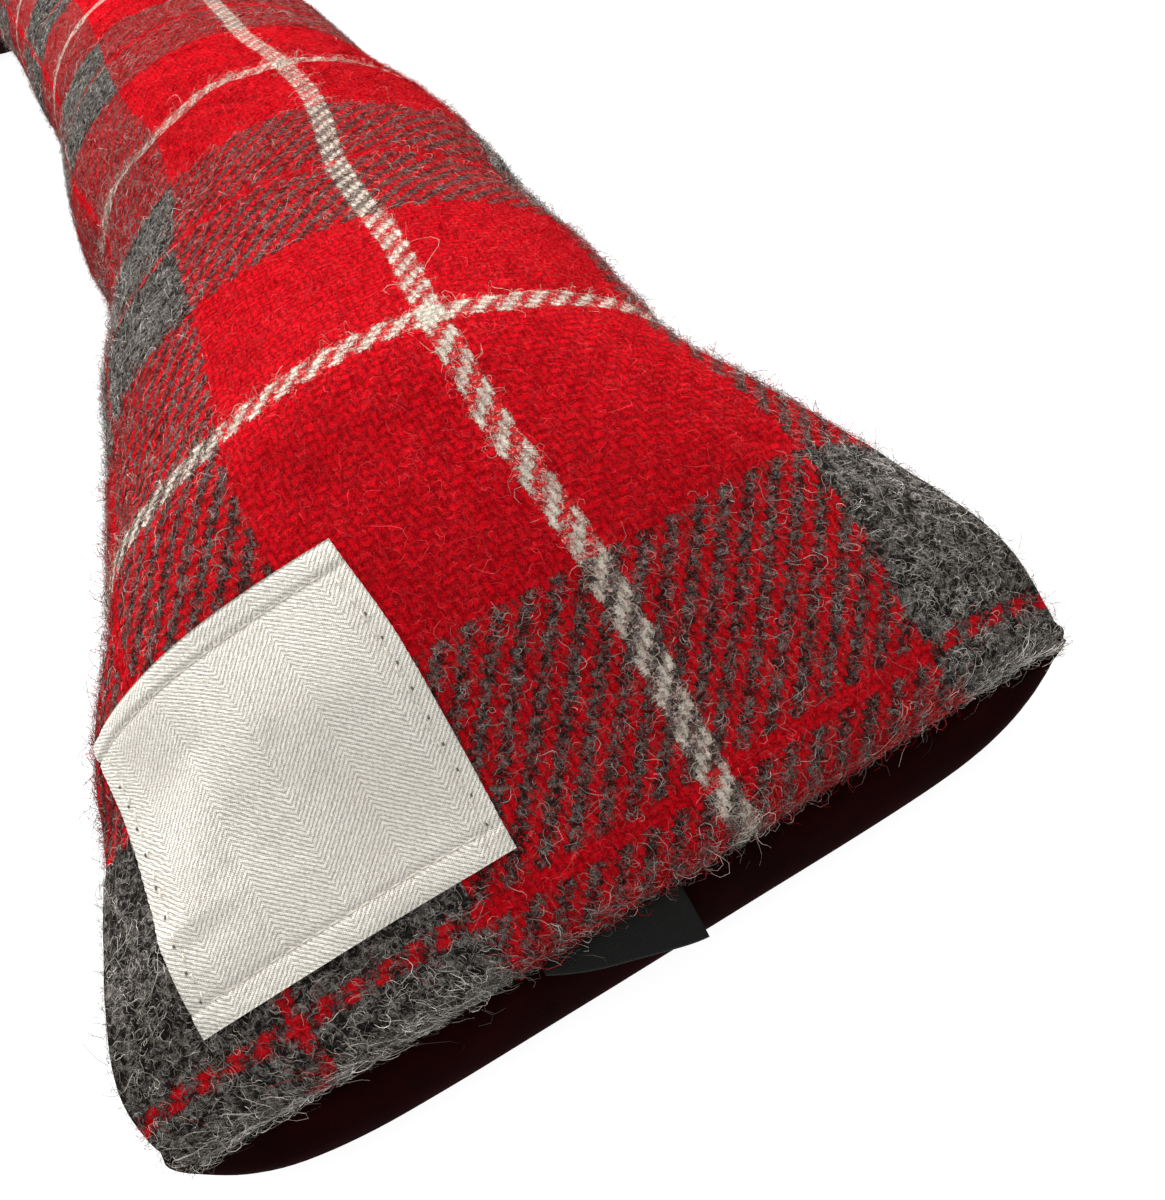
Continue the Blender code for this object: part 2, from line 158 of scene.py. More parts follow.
def panel(rings, angles, top=True):
    """Points of the tweed or of the velvet, one row for each ring, from the left seam to the right one."""
    columns = Ring(*[column[:, None] for column in rings.T])
    power = 2.0 / ROUNDNESS
    side = -np.sign(np.cos(angles)) * np.abs(np.cos(angles)) ** power
    seam = columns.seam - columns.tilt / 2 * side
    if top:
        rise = np.abs(np.sin(angles)) ** power
        forward = 1.0 - np.abs(side) ** ROUNDNESS
        dip = rise * sum(dent.depth * np.exp(-((columns.run - dent.run) / dent.spread_along) ** 2
                                             - ((side - dent.across) / dent.spread_across) ** 2)
                         for dent in DENTS)
        along = columns.side_run + (columns.run - columns.side_run) * forward
        across = columns.lean + (columns.half_width - dip) * side
        height = seam + (columns.crown - seam) * rise - dip * rise + SEAM_GAP
    else:
        forward = np.clip(1.0 - np.abs(side) ** columns.square, 0.0, 1.0)
        drop = forward ** (1.0 / columns.square)
        along = columns.side_run + (columns.base_run - columns.side_run) * forward
        roll = np.where(side < 0, columns.left_roll, columns.right_roll)
        swell = SWELL_TOP * roll * drop ** 2 * (1.0 - drop)
        across = columns.lean + (columns.half_width + swell) * side
        height = np.maximum(seam + (columns.under - seam) * drop, 0.0)
    return np.stack(np.broadcast_arrays(-along, across, height), axis=-1)


END_ZONE = 112.0            # length of cloth at each end where a mesh has its rows closer together


def steps_along(fine, coarse):
    """Cloth lengths of the rows of a mesh: closer together at both ends."""
    ends = np.linspace(0.0, END_ZONE, int(END_ZONE / fine) + 1)
    middle = np.linspace(END_ZONE, CLOTH - END_ZONE, int((CLOTH - 2 * END_ZONE) / coarse) + 1)
    return np.concatenate([ends[:-1], middle[:-1], CLOTH - ends[::-1]])


def outward_normals(points, top):
    """Unit normals of a grid of points."""
    along = np.gradient(points, axis=0)
    across = np.gradient(points, axis=1)
    normals = np.cross(across, along) if top else np.cross(along, across)
    return normals / np.maximum(np.linalg.norm(normals, axis=-1, keepdims=True), 1e-9)


# The tweed's own box says where the seam of the labelled end is
tweed_low, tweed_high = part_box("tweed_top")
own_across = panel(rings_at(steps_along(2.0, 4.0)), np.linspace(0.0, np.pi, 61))[..., 1]
SHIFT = np.array([tweed_high[0] / MM, (tweed_low[1] / MM + tweed_high[1] / MM) / 2
                  - (own_across.min() + own_across.max()) / 2, 0.0])


def placed(points):
    """Points in the frame, in metres."""
    return (np.asarray(points) + SHIFT) * MM


# The tartan

END_PITCH = 1.15            # between neighbouring ends
PICK_PITCH = 1.38           # between neighbouring picks
PICK_STRETCH = 1.48         # the same over the end's slope, where the filling pulls the cloth
WHITE_END = 89.5            # the white stripe's middle, from the left side seam
WHITE_PICK = 93.3           # the first white bar's middle, from the end seam
CUT_WIDTH = 148.0           # width of the tweed before its corners are rounded

# The sett, in threads out from the middle of a white stripe, the same in ends and picks
SETT = 112.0
WHITE_EDGE = 2.0
RED_EDGE = 32.0
GREY_EDGE = 55.0


def wander(a, b, seed):
    """A slow, smooth unevenness from -1 to 1."""
    turns = np.random.default_rng(seed).uniform(0, 2 * np.pi, 6)
    return (np.sin(a / 41 + turns[0]) * np.sin(b / 37 + turns[1]) * 0.5
            + np.sin(a / 17 + turns[2]) * np.sin(b / 19 + turns[3]) * 0.3
            + np.sin(a / 7.3 + turns[4]) * np.sin(b / 8.1 + turns[5]) * 0.2)


def from_cut_edge(across, width):
    """Distance from the left edge of the uncut cloth, whose corners are rounded at the ends."""
    return across + (CUT_WIDTH - width) / 2


def thread_numbers(cloth, across, width):
    """End and pick numbers at a length of cloth and a distance from the left side seam."""
    across = from_cut_edge(across, width)
    before = (WHITE_PICK - cloth) / np.where(cloth < WHITE_PICK, PICK_STRETCH, PICK_PITCH)
    ends = (across - WHITE_END) / END_PITCH
    return ends + 0.9 * wander(cloth, across, 3), before + 0.9 * wander(across, cloth, 4)


def stripe(number):
    """0 white, 1 red, 2 grey: the yarn of a thread."""
    out = np.abs((np.floor(number) + 0.5 + SETT / 2) % SETT - SETT / 2)
    return np.where(out < WHITE_EDGE, 0, np.where((out < RED_EDGE) | (out > GREY_EDGE), 1, 2))


def yarn_on_top(ends, picks):
    """The yarn that shows, and whether it is an end."""
    phase = (np.floor(ends) + np.floor(picks)) % 4
    end_up = phase < 2
    return np.where(end_up, stripe(ends), stripe(picks)), end_up


# Nodes

class Nodes:
    """The node tree of a new material or world, written as sums of sockets."""

    def __init__(self, name, owners=bpy.data.materials):
        self.owner = owners.new(name)
        self.owner.use_nodes = True
        self.tree = self.owner.node_tree
        self.surface = self.tree.nodes.get("Principled BSDF")

    def put(self, socket, value):
        if hasattr(value, "is_output"):
            self.tree.links.new(value, socket)
        elif hasattr(value, "__len__") and len(value) == 3 and len(socket.default_value) == 4:
            socket.default_value = (*value, 1.0)
        else:
            socket.default_value = value

    def new(self, kind):
        return self.tree.nodes.new("ShaderNode" + kind)

    def fill(self, node, inputs):
        """Puts values into a node's inputs, by name or number, and returns its outputs."""
        for name, value in inputs.items():
            self.put(node.inputs[name], value)
        return node.outputs

    def math(self, operation, *values):
        node = self.new("Math")
        node.operation = operation
        return self.fill(node, dict(enumerate(values)))[0]

    def add(self, a, b):
        return self.math("ADD", a, b)

    def times(self, a, b):
        return self.math("MULTIPLY", a, b)

    def minus(self, a, b):
        return self.math("SUBTRACT", a, b)

    def off(self, value, middle=0.5):
        """How far a value is from the middle, either way."""
        return self.math("ABSOLUTE", self.minus(value, middle))

    def less(self, a, b):
        return self.math("LESS_THAN", a, b)

    def ribs(self, way, pitch):
        """Even waves from -1 to 1 along a way."""
        return self.math("SINE", self.times(way, 2 * np.pi / pitch))

    def curve(self, value, low, high, to_low=0.0, to_high=1.0):
        node = self.new("MapRange")
        node.interpolation_type = "SMOOTHSTEP"
        return self.fill(node, {"Value": value, "From Min": low, "From Max": high,
                                "To Min": to_low, "To Max": to_high})["Result"]

    def blended(self, data_type, first_input, output, share, a, b):
        """A Mix node, which has its own inputs and output for each type of data."""
        node = self.new("Mix")
        node.data_type = data_type
        return self.fill(node, {0: share, first_input: a, first_input + 1: b})[output]

    def mix(self, share, a, b):
        """From colour a to colour b."""
        return self.blended("RGBA", 6, 2, share, a, b)

    def between(self, share, a, b):
        """From number a to number b."""
        return self.blended("FLOAT", 2, 0, share, a, b)

    def noise(self, where, scale, detail=2.0, roughness=0.5, distortion=0.0):
        return self.fill(self.new("TexNoise"), {"Vector": where, "Scale": scale, "Detail": detail,
                                                "Roughness": roughness, "Distortion": distortion})["Fac"]

    def hairs(self, where, scale, width, distortion):
        """Thin curly lines, as loose fibres that lie on the cloth."""
        level = self.noise(where, scale, detail=1.0, distortion=distortion)
        return self.curve(self.off(level), 0.0, width, 1.0, 0.0)

    def vector(self, x, y, z):
        return self.fill(self.new("CombineXYZ"), {0: x, 1: y, 2: z})[0]

    def position(self):
        return self.new("TexCoord").outputs["Object"]

    def parts(self, vector):
        return list(self.fill(self.new("SeparateXYZ"), {0: vector}))

    def uv(self):
        """The two numbers of the piece's UV, one by one."""
        return self.parts(self.new("TexCoord").outputs["UV"])[:2]

    def bump(self, height, distance, strength):
        outputs = self.fill(self.new("Bump"), {"Height": height, "Distance": distance, "Strength": strength})
        self.put(self.surface.inputs["Normal"], outputs["Normal"])

    def finish(self, colour, roughness, specular, sheen=0.0, sheen_tint=(1.0, 1.0, 1.0)):
        self.fill(self.surface, {"Base Color": colour, "Roughness": roughness,
                                 "Specular IOR Level": specular, "Sheen Weight": sheen,
                                 "Sheen Roughness": 0.45, "Sheen Tint": sheen_tint})
        return self.owner


RED = (0.60, 0.0020, 0.0080)
# The darkest red and white come both from darker fibres and from painted shade in the gaps between yarns
RED_DEEP_AND_SHADED = (0.16, 0.0004, 0.0018)
RED_FUZZ = (0.80, 0.020, 0.034)
WHITE = (0.72, 0.66, 0.56)
WHITE_DEEP_AND_SHADED = (0.22, 0.19, 0.15)
GREY_DARK = (0.0050, 0.0045, 0.0041)
GREY_LIGHT = (0.27, 0.245, 0.220)
GREY_FUZZ = (0.46, 0.42, 0.38)
CROSSED_TONE = 0.60         # how much of its lightness grey wool keeps where it crosses another yarn
MATTED_FROM = 0.34          # along the frame's X, in metres: from here on the yarns' colours blend
MATTED_TO = 0.10            # and here they blend most,
MATTED_SHARE = 0.68         # by this much


def tweed_material():
    """A felted 2/2 twill of woollen yarn: each cell shows an end or a pick in its stripe's colour."""
    n = Nodes("tweed")
    ends, picks = n.uv()
    where = n.position()

    def ragged(seed):
        """Moves the edge between two yarns about, coarsely and finely."""
        place = n.vector(n.add(ends, seed), picks, seed)
        coarse = n.minus(n.noise(place, 0.9, 3.0, 0.65, 0.5), 0.5)
        fine = n.minus(n.noise(where, 2600.0 + seed, 2.0, 0.7), 0.5)
        return n.add(n.times(coarse, 1.4), n.times(fine, 1.5))

    ends_here = n.add(ends, ragged(3.0))
    picks_here = n.add(picks, ragged(11.0))
    end_number = n.math("FLOOR", ends_here)
    pick_number = n.math("FLOOR", picks_here)
    end_part = n.math("FRACT", ends_here)
    pick_part = n.math("FRACT", picks_here)
    phase = n.math("FLOORED_MODULO", n.add(end_number, pick_number), 4.0)
    end_up = n.less(phase, 1.5)

    def yarn_height(part, travelled):
        """A round yarn that arches over the two threads it floats over; travelled runs from 0 to 2."""
        arch = n.ribs(travelled, 4.0)
        return n.times(n.curve(n.off(part), 0.10, 0.56, 1.0, 0.0), n.curve(arch, 0.0, 0.8, 0.35, 1.0))

    end_height = yarn_height(end_part, n.add(phase, pick_part))
    pick_height = yarn_height(pick_part, n.add(n.minus(phase, 2.0), end_part))
    height = n.between(end_up, pick_height, end_height)

    def yarns(number):
        """White and red shares of a thread, from its place in the sett; the rest is grey."""
        from_white = n.math("FLOORED_MODULO", n.add(number, 0.5 + SETT / 2), SETT)
        out = n.off(from_white, SETT / 2)
        white = n.less(out, WHITE_EDGE)
        red = n.math("MAXIMUM", n.less(out, RED_EDGE), n.math("GREATER_THAN", out, GREY_EDGE))
        return white, red

    end_white, end_red = yarns(end_number)
    pick_white, pick_red = yarns(pick_number)

    # Felting works the hidden thread's wool up through the one on top, in small tufts
    tufts = n.curve(n.noise(where, 1100.0, 3.0, 0.7, 1.0), 0.52, 0.66, 0.03, 0.78)
    shown_end = n.between(tufts, end_up, n.minus(1.0, end_up))
    matted = n.curve(n.parts(where)[0], MATTED_TO, MATTED_FROM, MATTED_SHARE, 0.0)
    shown_end = n.between(matted, shown_end, 0.5)
    white = n.between(shown_end, pick_white, end_white)
    red = n.between(shown_end, pick_red, end_red)

    # Each yarn is blended from fibres of several tones, and is darker at its edges and in the gaps between
    # yarns as painted shade; raised fibres lie over them in all directions
    along_end = n.vector(n.times(ends, 5.5), n.times(picks, 1.0), 0.0)
    along_pick = n.vector(n.times(ends, 1.0), n.times(picks, 5.5), 5.0)
    fibres = n.between(end_up, n.noise(along_pick, 2.2, 3.0, 0.75, 1.2),
                       n.noise(along_end, 2.2, 3.0, 0.75, 1.2))
    speckle = n.noise(where, 1500.0, 3.0, 0.75, 0.8)
    # Painted shade: random patches of the grey are darkened as shade in hollows of the felt, and fewer
    # raised fibres show there
    shaded_hollows = n.curve(n.noise(where, 560.0, 3.0, 0.7, 0.8), 0.44, 0.58, 0.06, 1.15)
    clumped = n.noise(n.vector(end_number, pick_number, 7.0), 0.83, 1.0)
    blend = n.add(n.times(fibres, 0.50), n.add(n.times(speckle, 0.40), n.times(clumped, 0.10)))
    curls = n.math("MAXIMUM", n.hairs(where, 1150.0, 0.030, 2.0), n.hairs(where, 720.0, 0.018, 2.6))
    # Painted shade: shade darkens each yarn where it is low, at its edges and between yarns, and also
    # carries the fibres' own tones
    shade = n.curve(n.add(n.times(height, 0.75), n.times(blend, 1.2)), 0.45, 1.25)

    red_yarn = n.mix(shade, RED_DEEP_AND_SHADED, RED)
    red_yarn = n.mix(n.curve(blend, 0.52, 0.70, 0.0, 0.55), red_yarn, RED_FUZZ)
    white_yarn = n.mix(shade, WHITE_DEEP_AND_SHADED, WHITE)
    grey_tone = n.times(n.times(shade, shaded_hollows), n.curve(blend, 0.44, 0.60))
    grey_tone = n.times(grey_tone, n.between(n.off(end_red, pick_red), 1.0, CROSSED_TONE))
    grey_yarn = n.mix(grey_tone, GREY_DARK, GREY_LIGHT)
    colour = n.mix(red, grey_yarn, red_yarn)
    colour = n.mix(white, colour, white_yarn)
    fuzz = n.mix(white, n.mix(red, GREY_FUZZ, RED_FUZZ), WHITE)
    raised = n.times(curls, n.between(red, n.times(shaded_hollows, 0.70), 0.35))
    colour = n.mix(raised, colour, fuzz)
    relief = n.add(n.times(height, 0.55), n.add(n.times(blend, 0.8), n.times(curls, 0.30)))
    n.bump(relief, 0.0008, 0.85)
    return n.finish(colour, 1.0, 0.0, sheen=0.02, sheen_tint=(0.80, 0.62, 0.58))


def fuzz_material(name, dark, light, contrast):
    """Loose wool fibres: the UV's first number is the fibre's own tone, and the second runs from its root,
    near which it is darker as painted shade.
    """
    n = Nodes(name)
    tone, root = n.uv()
    # Painted shade: each fibre is darker near its root, where it enters the cloth
    tone_and_root_shade = n.times(n.math("POWER", tone, contrast), n.curve(root, 0.0, 0.6, 0.45, 1.0))
    return n.finish(n.mix(tone_and_root_shade, dark, light), 1.0, 0.0)


def velvet_material():
    """Short dense pile that leans a little here and there, so that it shades in soft patches."""
    n = Nodes("velvet")
    where = n.position()
    pile = n.noise(where, 3000.0, 2.0, 0.7)
    stroked = n.noise(where, 45.0, 3.0, 0.55, 0.8)
    brushed = n.noise(where, 190.0, 2.0, 0.6)
    lean = n.add(n.times(stroked, 0.7), n.times(brushed, 0.3))
    colour = n.mix(n.curve(lean, 0.35, 0.70), (0.0031, 0.0003, 0.0004), (0.0074, 0.0004, 0.0007))
    colour = n.mix(n.curve(pile, 0.45, 0.75, 0.0, 0.30), colour, (0.014, 0.0009, 0.0016))
    n.bump(n.add(n.times(pile, 0.4), n.times(brushed, 0.5)), 0.0003, 0.5)
    return n.finish(colour, 0.95, 0.015, sheen=0.012, sheen_tint=(0.75, 0.10, 0.14))


# Pitches of the label's bands, ribs, picks and ends, and of the ribbon's ribs and warp
LABEL_BAND = 9.5
LABEL_RIBS = 0.58
LABEL_PICKS = 0.36
LABEL_ENDS = 0.30
RIBBON_RIBS = 0.34
RIBBON_WARP = 0.28


def label_material():
    """Cream herringbone: slanted ribs that turn back in every band; the UV is in millimetres."""
    n = Nodes("label_weave")
    along, round_side = n.uv()
    where = n.position()
    wobble = n.times(n.minus(n.noise(where, 800.0, 3.0, 0.6), 0.5), 0.42)
    zigzag = n.math("PINGPONG", n.add(round_side, 4.0), LABEL_BAND)
    slant = n.add(n.add(n.times(along, 0.72), n.times(zigzag, 0.69)), wobble)
    grain = n.noise(where, 2600.0, 2.0, 0.7)
    soil = n.noise(where, 70.0, 3.0)
    knots = n.times(n.ribs(round_side, LABEL_PICKS), n.ribs(along, LABEL_ENDS))
    relief = n.add(n.times(n.ribs(slant, LABEL_RIBS), 0.26),
                   n.add(n.times(knots, 0.30), n.times(grain, 1.1)))
    # Painted shade: the colour follows the relief, darker in the grooves between ribs, picks and ends, and
    # also takes the grain's tones
    shade = n.curve(relief, 0.05, 0.95)
    colour = n.mix(shade, (0.27, 0.250, 0.212), (0.77, 0.740, 0.665))
    colour = n.mix(n.curve(soil, 0.4, 0.8, 0.0, 0.22), colour, (0.40, 0.355, 0.30))
    n.bump(relief, 0.00028, 0.9)
    return n.finish(colour, 0.55, 0.35, sheen=0.04)


def thread_material(name, dark, light):
    """Sewing thread, darker and lighter along its twist; dark threads of it also stand for the painted shade
    in empty needle holes.
    """
    n = Nodes(name)
    twist = n.noise(n.position(), 2200.0, 2.0)
    n.bump(twist, 0.0001, 1.0)
    return n.finish(n.mix(twist, dark, light), 0.6, 0.3)


def ribbon_material():
    """Black ribbon: fine ribs across, with a low satin shine; the UV is in millimetres."""
    n = Nodes("black_ribbon")
    along, down = n.uv()
    grain = n.noise(n.position(), 1500.0, 2.0)
    relief = n.add(n.times(n.ribs(down, RIBBON_RIBS), 0.35),
                   n.add(n.times(n.ribs(along, RIBBON_WARP), 0.2), n.times(grain, 0.5)))
    # Painted shade: the colour follows the relief, darker in the grooves between ribs and warp threads, and
    # also takes the grain's tones
    colour = n.mix(n.curve(relief, 0.0, 0.9), (0.0014, 0.0014, 0.0012), (0.0056, 0.0057, 0.0050))
    n.bump(relief, 0.00012, 0.8)
    return n.finish(colour, 0.60, 0.10)


def floor_material():
    """Plain white that glows a little, so that shadows on it stay faint; it isn't sampled as a lamp."""
    n = Nodes("floor")
    n.fill(n.surface, {"Emission Color": (1.0, 1.0, 1.0), "Emission Strength": 0.93})
    n.owner.cycles.emission_sampling = "NONE"
    return n.finish((0.12, 0.12, 0.12), 1.0, 0.0)


# Making pieces

def add_object(name, data):
    """A new object in the scene."""
    thing = bpy.data.objects.new(name, data)
    bpy.context.scene.collection.objects.link(thing)
    return thing


def make_piece(name, points, faces, material, uv=None, smooth=True):
    """A mesh object from points in the frame, with a UV for each point."""
    mesh = bpy.data.meshes.new(name)
    faces = np.asarray(faces)
    mesh.vertices.add(len(points))
    mesh.vertices.foreach_set("co", np.asarray(points, np.float32).ravel())
    mesh.loops.add(faces.size)
    mesh.loops.foreach_set("vertex_index", faces.astype(np.int32).ravel())
    mesh.polygons.add(len(faces))
    mesh.polygons.foreach_set("loop_start", np.arange(0, faces.size, faces.shape[1], dtype=np.int32))
    mesh.update(calc_edges=True)
    if uv is not None:
        layer = mesh.uv_layers.new(name="UVMap")
        layer.data.foreach_set("uv", np.asarray(uv, np.float32)[faces.ravel()].ravel())
    mesh.polygons.foreach_set("use_smooth", np.full(len(faces), smooth))
    mesh.materials.append(material)
    thing = add_object(name, mesh)
    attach(thing, "root")
    return thing


def grid_faces(rows, columns, first=0, turned=False):
    """Quads of a grid of points that is numbered row by row."""
    r, c = np.meshgrid(np.arange(rows - 1), np.arange(columns - 1), indexing="ij")
    a = (first + r * columns + c).ravel()
    quads = np.stack([a, a + 1, a + columns + 1, a + columns], axis=1)
    return quads[:, ::-1] if turned else quads


def closed_sheet(name, low, high, material, uv):
    """A piece from the grids of points of its two sides, closed by a rim."""
    count = low[..., 0].size
    index = np.arange(count).reshape(low.shape[:2])
    rim = np.concatenate([index[0, :-1], index[:-1, -1], index[-1, :0:-1], index[:0:-1, 0]])
    rim_next = np.roll(rim, -1)
    faces = np.concatenate([grid_faces(*index.shape), grid_faces(*index.shape, first=count, turned=True),
                            np.stack([rim, rim_next, rim_next + count, rim + count], axis=1)])
    points = np.concatenate([low, high]).reshape(-1, 3)
    return make_piece(name, placed(points), faces, material, np.tile(uv.reshape(-1, 2), (2, 1)))


TUCK = (1.4, 3.2)           # how far inside the tube the two rows of the hidden border lie


def rolled_in(points, normals, from_edge, radius):
    """Turns the border of a panel into its seam, with a small round edge."""
    depth = np.clip(1.0 - from_edge / radius, 0.0, 1.0)
    return points - normals * (radius * (1.0 - np.sqrt(1.0 - depth ** 2)))[..., None]


def tucked(grid, tilt):
    """Adds two hidden rows of points along every side of a grid, drawn into the tube."""
    grid = np.asarray(grid, float)
    for axis in (0, 1):
        grid = np.moveaxis(grid, axis, 0)
        if grid.shape[-1] == 3:
            inward = np.array([-1.0, 0.0, 0.0]) if axis == 0 else np.array([0.0, 1.0, 0.0])
            before = [grid[:1] + inward * depth + [0.0, 0.0, tilt * depth] for depth in TUCK[::-1]]
            after = [grid[-1:] - inward * depth + [0.0, 0.0, tilt * depth] for depth in TUCK]
        else:
            before = [grid[:1]] * 2
            after = [grid[-1:]] * 2
        grid = np.moveaxis(np.concatenate(before + [grid] + after), 0, axis)
    return grid


def panel_mesh(top, fine, coarse, columns):
    """Points, normals, cloth lengths and distances from the left seam of one panel's fine mesh."""
    cloth = steps_along(fine, coarse)
    points = panel(rings_at(cloth), np.linspace(0.0, np.pi, columns), top)
    normals = outward_normals(points, top)
    across = walked(points)
    lengths = np.repeat(cloth[:, None], columns, axis=1)
    from_end = np.minimum(lengths, CLOTH - lengths)
    from_side = np.minimum(across, across[:, -1:] - across)
    return points, normals, lengths, across, from_end, from_side


def cloth_piece(name, points, uv, tilt, top, material):
    """A panel's piece: its grid of points with the hidden border."""
    whole = tucked(points, tilt)
    return make_piece(name, placed(whole.reshape(-1, 3)), grid_faces(*whole.shape[:2], turned=top),
                      material, tucked(uv, 0.0).reshape(-1, 2))


# Padding: the tweed is held along its seams and blown up a little, as a short cloth simulation
BLOWN_GRID = (191, 45)      # rows and columns of the coarse copy that is simulated
PRESSURE = -4.0             # outwards
SHRINK = -0.004             # the cloth is this much larger than the tube
LAST_FRAME = 20
LARGEST_MOVE = 0.8
REACH = 7                   # moves wider than about this many points are left out


def slow_part(grid, reach):
    """The grid without its unevenness, smoothed over the reach in both directions."""
    weights = np.hanning(2 * reach + 1)
    weights /= weights.sum()
    for axis in (0, 1):
        border = [(0, 0), (0, 0)]
        border[axis] = (reach, reach)
        wider = np.pad(grid, border, mode="edge")
        grid = np.apply_along_axis(np.convolve, axis, wider, weights, mode="valid")
    return grid


def blown_up(points, normals):
    """How far outwards each point of a panel moves when its cloth, held at the seams, is blown up."""
    rows, columns = BLOWN_GRID
    chosen_rows = np.round(np.linspace(0, points.shape[0] - 1, rows)).astype(int)
    chosen_columns = np.round(np.linspace(0, points.shape[1] - 1, columns)).astype(int)
    chosen = np.ix_(chosen_rows, chosen_columns)
    start = placed(points[chosen])
    mesh = bpy.data.meshes.new("blown")
    mesh.from_pydata(start.reshape(-1, 3).tolist(), [], grid_faces(rows, columns, turned=True).tolist())
    thing = add_object("blown", mesh)
    index = np.arange(rows * columns).reshape(rows, columns)
    border = np.concatenate([index[0], index[-1], index[:, 0], index[:, -1]])
    thing.vertex_groups.new(name="held").add(border.tolist(), 1.0, "REPLACE")
    cloth = thing.modifiers.new("cloth", "CLOTH")
    cloth.settings.vertex_group_mass = "held"
    cloth.settings.quality = 4
    cloth.settings.mass = 0.05
    cloth.settings.use_pressure = True
    cloth.settings.uniform_pressure_force = PRESSURE
    cloth.settings.shrink_min = SHRINK
    cloth.settings.effector_weights.gravity = 0.0
    cloth.collision_settings.use_collision = False
    cloth.point_cache.frame_end = LAST_FRAME
    for number in range(1, LAST_FRAME + 1):
        bpy.context.scene.frame_set(number)
    ready = thing.evaluated_get(bpy.context.evaluated_depsgraph_get()).data
    after = np.empty(rows * columns * 3, np.float32)
    ready.vertices.foreach_get("co", after)
    bpy.data.objects.remove(thing, do_unlink=True)
    bpy.context.scene.frame_set(1)
    out = ((after.reshape(rows, columns, 3) - start) / MM * normals[chosen]).sum(axis=-1)
    out = LARGEST_MOVE * np.tanh((out - slow_part(out, REACH)) / LARGEST_MOVE)
    every_row = np.arange(points.shape[0])
    every_column = np.arange(points.shape[1])
    out = np.array([np.interp(every_row, chosen_rows, column) for column in out.T]).T
    return np.array([np.interp(every_column, chosen_columns, row) for row in out])


TWEED_STEPS = (1.4, 3.2)    # between the mesh's rows, near the ends and between them
TWEED_COLUMNS = 90

tweed_points, tweed_normals, tweed_cloth, tweed_across, from_end, from_side = panel_mesh(
    True, *TWEED_STEPS, TWEED_COLUMNS)
from_edge = np.minimum(from_end, from_side)
pucker = (0.30 * np.exp(-from_end / 7.0) * np.sin(tweed_across / 2.6 + 1.3 * np.sin(tweed_across / 9.0))
          + 0.22 * np.exp(-from_side / 6.0) * np.sin(tweed_cloth / 2.9 + 1.2 * np.sin(tweed_cloth / 11.0)))
lumps = 0.45 * wander(tweed_cloth * 1.7, tweed_across * 1.5, 8)
edge_calm = np.clip(from_edge / 3.0, 0.0, 1.0)
overhang = 0.45 * np.exp(-((from_edge - 1.6) / 1.5) ** 2)
padding = blown_up(tweed_points, tweed_normals)
out = (pucker + lumps + padding) * edge_calm + overhang - 0.2
tweed_points = tweed_points + tweed_normals * out[..., None]
tweed_points = rolled_in(tweed_points, tweed_normals, from_edge, 1.3)
tweed_threads = np.stack(thread_numbers(tweed_cloth, tweed_across, tweed_across[:, -1:]), axis=-1)
tweed = cloth_piece("tweed_cloth", tweed_points, tweed_threads, -0.1, True, tweed_material())
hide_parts("tweed_top")

VELVET_STEPS = (1.6, 4.0)
VELVET_COLUMNS = 80


def lay_velvet():
    """The lower panel, with small puckers along the end seams; it rests at the height of 0."""
    points, normals, cloth, across, to_end, to_seam = panel_mesh(False, *VELVET_STEPS, VELVET_COLUMNS)
    puckers = 0.25 * np.exp(-to_end / 6.0) * np.sin(across / 3.1 + np.sin(across / 8.0))
    off_floor = np.clip(points[..., 2] / 3.0, 0.0, 1.0)
    points = points + normals * ((puckers - 0.1) * off_floor)[..., None]
    points = rolled_in(points, normals, np.minimum(to_end, to_seam), 1.0)
    points[..., 2] = np.maximum(points[..., 2], 0.0)
    uv = np.stack([cloth, across], axis=-1)
    velvet = cloth_piece("velvet_cloth", points, uv, 0.25, False, velvet_material())
    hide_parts("velvet_base")


lay_velvet()


# Loose wool fibres

def row_width(cloth):
    """Width of the tweed from side seam to side seam at a length of cloth."""
    return np.interp(cloth, tweed_cloth[:, 0], tweed_across[:, -1])


def tweed_at(cloth, across):
    """Points, normals, directions of the ends and picks, and thread numbers anywhere on the tweed."""
    rows = len(tweed_points)
    row = np.interp(cloth, tweed_cloth[:, 0], np.arange(rows))
    low = np.clip(row.astype(int), 0, rows - 2)
    part = (row - low)[:, None]
    angles = np.linspace(0.0, 1.0, TWEED_COLUMNS)
    column = np.clip(across / tweed_across[low, -1], 0.0, 1.0)
    shares = tweed_across / tweed_across[:, -1:]
    place = np.empty(len(cloth))
    order = np.argsort(low)
    starts = np.searchsorted(low[order], np.arange(rows))
    for r in range(rows - 1):
        chosen = order[starts[r]:starts[r + 1]]
        if len(chosen):
            place[chosen] = np.interp(column[chosen], shares[r], angles) * (TWEED_COLUMNS - 1)
    left = np.clip(place.astype(int), 0, TWEED_COLUMNS - 2)
    beside = (place - left)[:, None]

    def read(grid):
        near = grid[low, left] * (1 - beside) + grid[low, left + 1] * beside
        far = grid[low + 1, left] * (1 - beside) + grid[low + 1, left + 1] * beside
        return near * (1 - part) + far * part

    onward = tweed_points[low + 1, left] - tweed_points[low, left]
    sideways = tweed_points[low, left + 1] - tweed_points[low, left]
    onward /= np.linalg.norm(onward, axis=1, keepdims=True)
    sideways /= np.linalg.norm(sideways, axis=1, keepdims=True)
    return read(tweed_points), read(tweed_normals), onward, sideways, read(tweed_threads)


